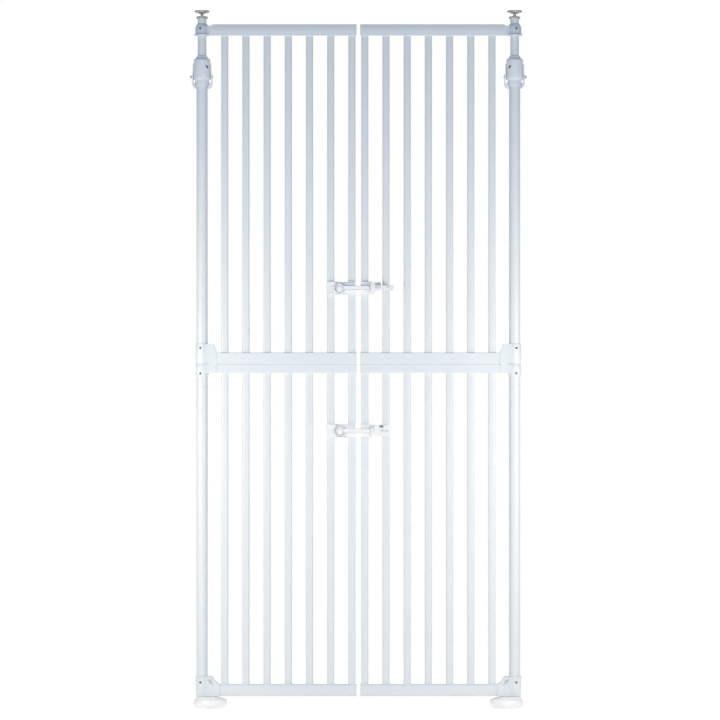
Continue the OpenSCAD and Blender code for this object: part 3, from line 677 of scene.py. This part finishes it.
def middle_brackets(side):
    """The two collars at mid height, waisted where they meet."""
    upper, lower = f"{side}_upper_panel_bracket", f"{side}_lower_panel_bracket"
    gap_high, gap_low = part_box(f"{side}_upper_panel_rail")[0][2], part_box(f"{side}_lower_panel_rail")[1][2]
    foot_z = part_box(f"{side}_lower_panel_rail")[0][2]
    reach = u_range(f"{side}_upper_panel_rail", side)[0]
    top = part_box(upper)[1][2]
    web_reach, inset = reach - 10 * MM, 0.2 * MM
    for node, name, z0, z1, full, small in (
            (upper, "middle_collar", gap_high, top, gap_high + 24 * MM, gap_high - 1 * MM),
            (lower, "middle_lower_collar", foot_z, gap_low, gap_low - 12 * MM, gap_low + 1 * MM)):
        web = tapered_web(rectangle(0, web_reach, z0 + inset, z1 - inset), COLLAR_HALF, ARM_HALF,
                          web_reach)
        body = carve(copy_of_left(node, side), [], [web])
        body = carve(body, [collar_bore(side, "middle_tube")])
        body = carve(body, [waist_cut(WAIST_FROM, full, 15.4 * MM, small)])
        pole_piece(side, name, body, node, edge=0.8 * MM)


def collar_lips(side):
    """Rolled lips round the outer mouths of the collars."""
    lips = []
    inset, lip_r = 1.6 * MM, 0.75 * MM
    for name, sunk, at_top in (("bottom", 0.05 * MM, True), ("upper_panel", 0.15 * MM, True),
                               ("lower_panel", 0.15 * MM, False)):
        low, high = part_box(f"{side}_{name}_bracket")
        r = (high[1] - low[1]) / 2 - sunk
        z = high[2] - inset if at_top else low[2] + inset
        lips.append(lathe(circle(r, z, lip_r, 10), closed=True))
    pole_piece(side, "collar_lips", joined(lips), f"{side}_bottom_bracket", False)


# ---------------------------------------------------------------- doors

def edge_rails(side):
    """The top and bottom rails, with the fold lines of their lips along both faces."""
    over, depth, line_h = 1 * MM, 0.6 * MM, 1.2 * MM
    for end in ("top", "bottom"):
        node = f"{side}_{end}_rail"
        low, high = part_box(node)
        lines = [prism(rectangle(low[0] - over, high[0] + over, z0, z0 + line_h), y - depth, y + depth)
                 for z0 in (high[2] - 3.6 * MM, low[2] + 2.4 * MM) for y in (low[1], high[1])]
        piece(f"{side}_{end}_section", carve(copy_of(node), lines), node, (node,), edge=0.25 * MM)


# A weld bead's section: how far it stands from the bar and from the rail, in mm
BEAD = ((0.05, 1.0), (0.75, 0.28), (1.1, -0.1), (0.05, -0.1))


def welds(side):
    """A small bead round each bar where it meets its rails."""
    beads = []
    for bars in (f"{side}_upper_bars", f"{side}_lower_bars"):
        for low, high in islands(bars):
            r = (high[1] - low[1]) / 2
            half = (high[0] - low[0]) / 2 - r
            x = (low[0] + high[0]) / 2
            for z, up in ((low[2], 1), (high[2], -1)):
                rings = []
                for grow, lift in BEAD:
                    outline = capsule(2 * (half + r + grow * MM), 2 * (r + grow * MM), 8)
                    rings.append([(x + a, b, z + up * lift * MM) for a, b in outline])
                beads.append(loft(rings, closed=True))
    piece(f"{side}_door_welds", joined(beads), f"{side}_upper_bars")


def pan_head(r, h):
    """A domed screw head standing on z = 0, with a cross recess."""
    profile = [(r, 0), (r, 0.35 * h), (0.93 * r, 0.65 * h), (0.72 * r, 0.9 * h), (0.4 * r, h), (0.02 * r, h)]
    arm, width = 0.62 * r, 0.17 * r
    cross = [(arm, -width), (arm, width), (width, width), (width, arm), (-width, arm), (-width, width),
             (-arm, width), (-arm, -width), (-width, -width), (-width, -arm), (width, -arm), (width, -width)]
    recess = moved(prism(cross, -0.6 * h, 2 * h), turn(-90, "X"), shift(z=h))
    return carve(lathe(profile, 40), [recess])


def door_screws(side):
    """Every screw of a door, rebuilt with a domed, crossed head; the slide locks' studs are white."""
    node = f"{side}_door_screws"
    shank_r, stud_from = 1.9 * MM, 3.6 * MM
    steel, white = [], []
    for low, high in islands(node):
        centre = (low + high) / 2
        r = (high[0] - low[0]) / 2
        stud = r > stud_from
        h = 1.6 * MM if stud else 1.9 * MM
        shank = lathe([(shank_r, 0), (shank_r, high.y - low.y - h)], 24)
        front = centre.y < 0 or stud
        out = 90 if front else -90
        under_head = shift(centre.x, low.y + h if front else high.y - h, centre.z)
        head = moved(pan_head(r, h), turn(out, "X"), under_head)
        (white if stud else steel).extend([head, moved(shank, turn(-out, "X"), under_head)])
    piece(f"{side}_screws", joined(steel), node, (node,))
    if white:
        piece(f"{side}_guide_studs", joined(white), node, slot="latch_plastic")


# ---------------------------------------------------------------- latches

LOCK_TRAVEL = 12 * MM
CLIP_W = {"upper": 11 * MM, "lower": 13 * MM}
CLIP_DEPTH, CLIP_THICK = 9.5 * MM, 2.5 * MM
KNOB_R = 7.2 * MM


def ring_cut(x, z, r_out, r_in, y0, y1):
    """A ring about a line along Y."""
    tube = lathe([(r_out, 0), (r_out, y1 - y0), (r_in, y1 - y0), (r_in, 0)], 48, closed=True)
    return moved(tube, turn(-90, "X"), shift(x, y0, z))


def latch_arm(level):
    """The lift arm: a rounded lever with a finger groove and a ring round its pivot."""
    node = f"{level}_latch_arm"
    low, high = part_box(node)
    z = (low[2] + high[2]) / 2
    front, over = low[1], low[1] - 1 * MM
    boss_r = (high[2] - low[2]) / 2
    pivot = low[0] + boss_r
    groove = rectangle(pivot + boss_r - 1 * MM, high[0] - 5 * MM, z - 3.9 * MM, z - 2.4 * MM)
    cuts = [prism(fillet(groove, 0.6 * MM, 3), over, front + 2 * MM),
            ring_cut(pivot, z, 9.2 * MM, 7.9 * MM, over, front + 1.6 * MM)]
    piece(f"{level}_lift_arm", carve(copy_of(node), cuts), node, (node,), edge=0.7 * MM, segments=3)


def latch_base(level):
    """The base plate: a tapering gap along its top, a pocket and a moat round the arm's boss."""
    node = f"{level}_latch_base"
    low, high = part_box(node)
    z = (low[2] + high[2]) / 2
    front, over = low[1], low[1] - 1 * MM
    gap_x, gap_end = -43 * MM, high[0] - 2.5 * MM
    gap = [(gap_x - 13 * MM, z + 14.4 * MM), (gap_x, z + 12.2 * MM), (gap_end, z + 12.2 * MM),
           (gap_end, z + 14.8 * MM), (gap_x, z + 14.8 * MM)]
    pocket = fillet(rectangle(low[0] + 3.5 * MM, low[0] + 19 * MM, z - 13 * MM, z + 13 * MM), 2 * MM, 4)
    arm_low, arm_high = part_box(f"{level}_latch_arm")
    boss_r = (arm_high[2] - arm_low[2]) / 2
    moat = ring_cut(arm_low[0] + boss_r, z, boss_r + 1.8 * MM, boss_r - 0.6 * MM, over, front + 4 * MM)
    body = carve(copy_of(node), [prism(gap, over, front + 5.2 * MM), prism(pocket, over, front + 0.8 * MM)])
    body = carve(body, [moat])
    piece(f"{level}_latch_plate", body, node, (node,), edge=0.5 * MM, segments=3)


def keepers():
    """The keepers, with a deep recess in the rib beside each slide lock."""
    cuts = []
    for level, rib_w in (("upper", 15 * MM), ("lower", 10 * MM)):
        low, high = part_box(f"{level}_slide_lock")
        x0, z = low[0] + CLIP_W[level], (low[2] + high[2]) / 2
        plate_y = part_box(f"{level}_latch_base")[0][1]
        recess = rectangle(x0 + 1 * MM, x0 + rib_w - 1 * MM, z + 8.6 * MM, z + 14.2 * MM)
        cuts.append(prism(fillet(recess, 1 * MM, 3), plate_y - 1 * MM, plate_y + 5 * MM))
    piece("keeper_blocks", carve(copy_of("latch_keepers"), cuts), "latch_keepers", ("latch_keepers",),
          edge=0.5 * MM)


def lock_strap(level, x, front):
    """A lock's strap from x on: narrow on the upper lock, broad and notched on the lower one."""
    low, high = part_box(f"{level}_slide_lock")
    z = (low[2] + high[2]) / 2
    end_r, notch_r = 3 * MM, 1 * MM
    if level == "upper":
        half, end = 6 * MM, high[0] - KNOB_R
        top, radii = [(x, z + half)], [0, end_r, end_r, 0]
    else:
        half, end = 14.4 * MM, high[0]
        notch_x, notch_z = x + 12 * MM, z + 8 * MM
        top = [(notch_x, z + half), (notch_x, notch_z), (x, notch_z)]
        radii = [0, end_r, end_r, notch_r, notch_r, 0]
    outline = fillet([(x, z - half), (end, z - half), (end, z + half), *top], radii, 6)
    return prism(outline, front + 0.8 * MM, front + CLIP_THICK - 0.1 * MM)


def stud_slot(z, front):
    """The slot that a lock's stud runs in, longer than it is wide by the lock's travel."""
    stud_d, slot_w = 7 * MM, 4.8 * MM
    stud_x = [(a.x + b.x) / 2 for a, b in islands("right_door_screws")
              if (b - a).x > stud_d and abs((a.z + b.z) / 2 - z) < 5 * MM][0]
    slot = prism(capsule(LOCK_TRAVEL + slot_w, slot_w), front - 2 * MM, front + 4 * MM)
    return moved(slot, shift(stud_x + LOCK_TRAVEL / 2, 0, z))


def slide_lock(level):
    """The clip with its arched cheeks and slotted strap."""
    node = f"{level}_slide_lock"
    low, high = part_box(node)
    z = (low[2] + high[2]) / 2
    half, channel, arch = 14.5 * MM, 8.4 * MM, 4 * MM
    front = high[1] - CLIP_DEPTH
    x0, x1 = low[0], low[0] + CLIP_W[level]
    plate = prism(fillet(rectangle(x0, x1, z - half, z + half), arch, 8), front, front + CLIP_THICK)
    flanges = []
    for up in (1, -1):
        corners = [(x0, z + up * channel), (x1, z + up * channel), (x1, z + up * half), (x0, z + up * half)]
        flanges.append(prism(fillet(corners, [0, 0, arch, arch], 8), front + CLIP_THICK - 0.5 * MM, high[1]))
    body = carve(plate, [], flanges)
    body = carve(body, [stud_slot(z, front)], [lock_strap(level, x1 - 2 * MM, front)])
    piece(f"{level}_lock_clip", body, node, (node,), edge=0.6 * MM, segments=3)


def lock_knob():
    """The thumb knob at the end of the upper lock's strap, its rim raised."""
    node = "upper_slide_lock"
    low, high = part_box(node)
    axis = 0.01 * MM
    knob = lathe([(axis, 0), (KNOB_R - 0.6 * MM, 0), (KNOB_R, 0.6 * MM), (KNOB_R, 4.8 * MM),
                  (KNOB_R - 0.5 * MM, 5.9 * MM), (KNOB_R - 1.6 * MM, 6.4 * MM),
                  (KNOB_R - 2.6 * MM, 6.2 * MM), (axis, 5.6 * MM)], 56)
    place = shift(high[0] - KNOB_R, high[1] - CLIP_DEPTH + CLIP_THICK, (low[2] + high[2]) / 2)
    piece("upper_lock_knob", moved(knob, turn(90, "X"), place), node)


# ---------------------------------------------------------------- assembly

for node_name, node_object in NODES.items():
    paint(node_object, SLOT_OF[node_name])

for side in SIDES:
    foot(side)
    clamp_housing(side)
    lever_ribs(side)
    thumb_nut(side)
    threaded_rod(side)
    ceiling_disc(side)
    top_bracket(side)
    bottom_bracket(side)
    middle_brackets(side)
    edge_rails(side)
    collar_lips(side)
    welds(side)
    door_screws(side)
for level in ("upper", "lower"):
    latch_arm(level)
    latch_base(level)
    slide_lock(level)
    if level == "upper":
        lock_knob()
keepers()

# Carried-over parts whose shape is right need only their edges broken, by this much in mm
EDGES = {"jack_pins": 0.6, "clamp_collets": 0.5, "tube_joiners": 0.25, "foot_soles": 0.8,
         "latch_clamps": 0.9, "latch_pins": 0.5, "keeper_clamps": 0.9}
for side in SIDES:
    EDGES.update({f"{side}_jack_lever": 1.0, f"{side}_tube_plug": 0.3, f"{side}_ceiling_pad": 0.3,
                  f"{side}_rail_caps": 0.8})
for node_name, width in EDGES.items():
    round_edges(NODES[node_name], width * MM)


# ---------------------------------------------------------------- stage

SKY = (0.475, 0.565, 0.69)
SKY_STRENGTH = 1.18
# How far out the sky starts to fade, where it stops fading, and what is left of it there
FADE_ASIDE = (0.35, 0.95, 0.25)
FADE_UP = (0.1, 0.9, 0.4)
FLOOR_RADIUS = 1.6
FLOOR_GLOW, FLOOR_SEEN = 0.68, 0.9
WARM = (1.0, 0.925, 0.79)
# How much of the picture's height the gate fills
GATE_SHARE = 0.96806


def build_stage():
    """A plain floor that stays just short of white under the gate."""
    steps = 128
    mesh = bpy.data.meshes.new("floor")
    mesh.from_pydata(ring(FLOOR_RADIUS, 0, steps), [], [tuple(range(steps))])
    floor = bpy.data.objects.new("floor", mesh)
    bpy.context.scene.collection.objects.link(floor)
    material, tree, shader = new_material("floor_white", (0.3, 0.3, 0.3), 0.9, specular=0.0)
    shader.inputs["Emission Color"].default_value = (1.0, 1.0, 1.0, 1.0)
    seen = tree.nodes.new("ShaderNodeLightPath")
    glow = tree.nodes.new("ShaderNodeMapRange")
    glow.inputs["To Min"].default_value = FLOOR_GLOW
    glow.inputs["To Max"].default_value = FLOOR_SEEN
    tree.links.new(seen.outputs["Is Camera Ray"], glow.inputs["Value"])
    tree.links.new(glow.outputs["Result"], shader.inputs["Emission Strength"])
    mesh.materials.append(material)


def build_world():
    """A white sweep to the camera; the light it gives fades overhead and to either side."""
    world = bpy.data.worlds.new("studio")
    bpy.context.scene.world = world
    world.use_nodes = True
    tree = world.node_tree
    coordinates = tree.nodes.new("ShaderNodeTexCoord")
    split = tree.nodes.new("ShaderNodeSeparateXYZ")
    tree.links.new(coordinates.outputs["Generated"], split.inputs["Vector"])
    aside = tree.nodes.new("ShaderNodeMath")
    aside.operation = "ABSOLUTE"
    tree.links.new(split.outputs["X"], aside.inputs[0])
    fade = []
    for value, (start, end, least) in ((aside.outputs["Value"], FADE_ASIDE),
                                       (split.outputs["Z"], FADE_UP)):
        ramp = tree.nodes.new("ShaderNodeMapRange")
        ramp.inputs["From Min"].default_value = start
        ramp.inputs["From Max"].default_value = end
        ramp.inputs["To Min"].default_value = 1.0
        ramp.inputs["To Max"].default_value = least
        tree.links.new(value, ramp.inputs["Value"])
        fade.append(ramp.outputs["Result"])
    strength = tree.nodes.new("ShaderNodeMath")
    strength.operation = "MULTIPLY"
    for source, socket in zip(fade, strength.inputs):
        tree.links.new(source, socket)
    power = tree.nodes.new("ShaderNodeMath")
    power.operation = "MULTIPLY"
    power.inputs[1].default_value = SKY_STRENGTH
    tree.links.new(strength.outputs["Value"], power.inputs[0])
    sky = tree.nodes["Background"]
    sky.inputs["Color"].default_value = (*SKY, 1.0)
    tree.links.new(power.outputs["Value"], sky.inputs["Strength"])
    sweep = tree.nodes.new("ShaderNodeBackground")
    sweep.inputs["Color"].default_value = (1.0, 1.0, 1.0, 1.0)
    seen = tree.nodes.new("ShaderNodeLightPath")
    blend = tree.nodes.new("ShaderNodeMixShader")
    tree.links.new(seen.outputs["Is Camera Ray"], blend.inputs["Fac"])
    tree.links.new(sky.outputs["Background"], blend.inputs[1])
    tree.links.new(sweep.outputs["Background"], blend.inputs[2])
    tree.links.new(blend.outputs["Shader"], tree.nodes["World Output"].inputs["Surface"])


def area_light(name, place, target):
    """A warm soft panel that shines from place towards target, unseen itself."""
    data = bpy.data.lights.new(name, "AREA")
    data.shape = "RECTANGLE"
    data.size, data.size_y = 0.6, 0.5
    data.energy = 9.2
    data.color = WARM
    light = bpy.data.objects.new(name, data)
    bpy.context.scene.collection.objects.link(light)
    light.location = place
    direction = Vector(target) - Vector(place)
    light.rotation_euler = direction.to_track_quat("-Z", "Y").to_euler()
    light.visible_camera = False


def build_camera():
    """A long lens at mid height, framed as a front elevation."""
    low, high = cad_bounds
    frame_height = (high[2] - low[2]) / GATE_SHARE
    data = bpy.data.cameras.new("camera")
    data.lens = 200
    data.sensor_width = 36
    camera = bpy.data.objects.new("camera", data)
    bpy.context.scene.collection.objects.link(camera)
    aside, eye_height = 0.0042, 0.890
    camera.location = (aside, -frame_height * data.lens / data.sensor_width, eye_height)
    camera.rotation_euler = (math.pi / 2, 0, 0)
    bpy.context.scene.camera = camera


build_stage()
build_world()
area_light("front_left", (-1.1, -0.8, 0.75), (-0.35, 0, 0.7))
area_light("front_right", (1.1, -0.8, 0.75), (0.35, 0, 0.7))
build_camera()
bpy.context.scene.view_settings.view_transform = "Standard"
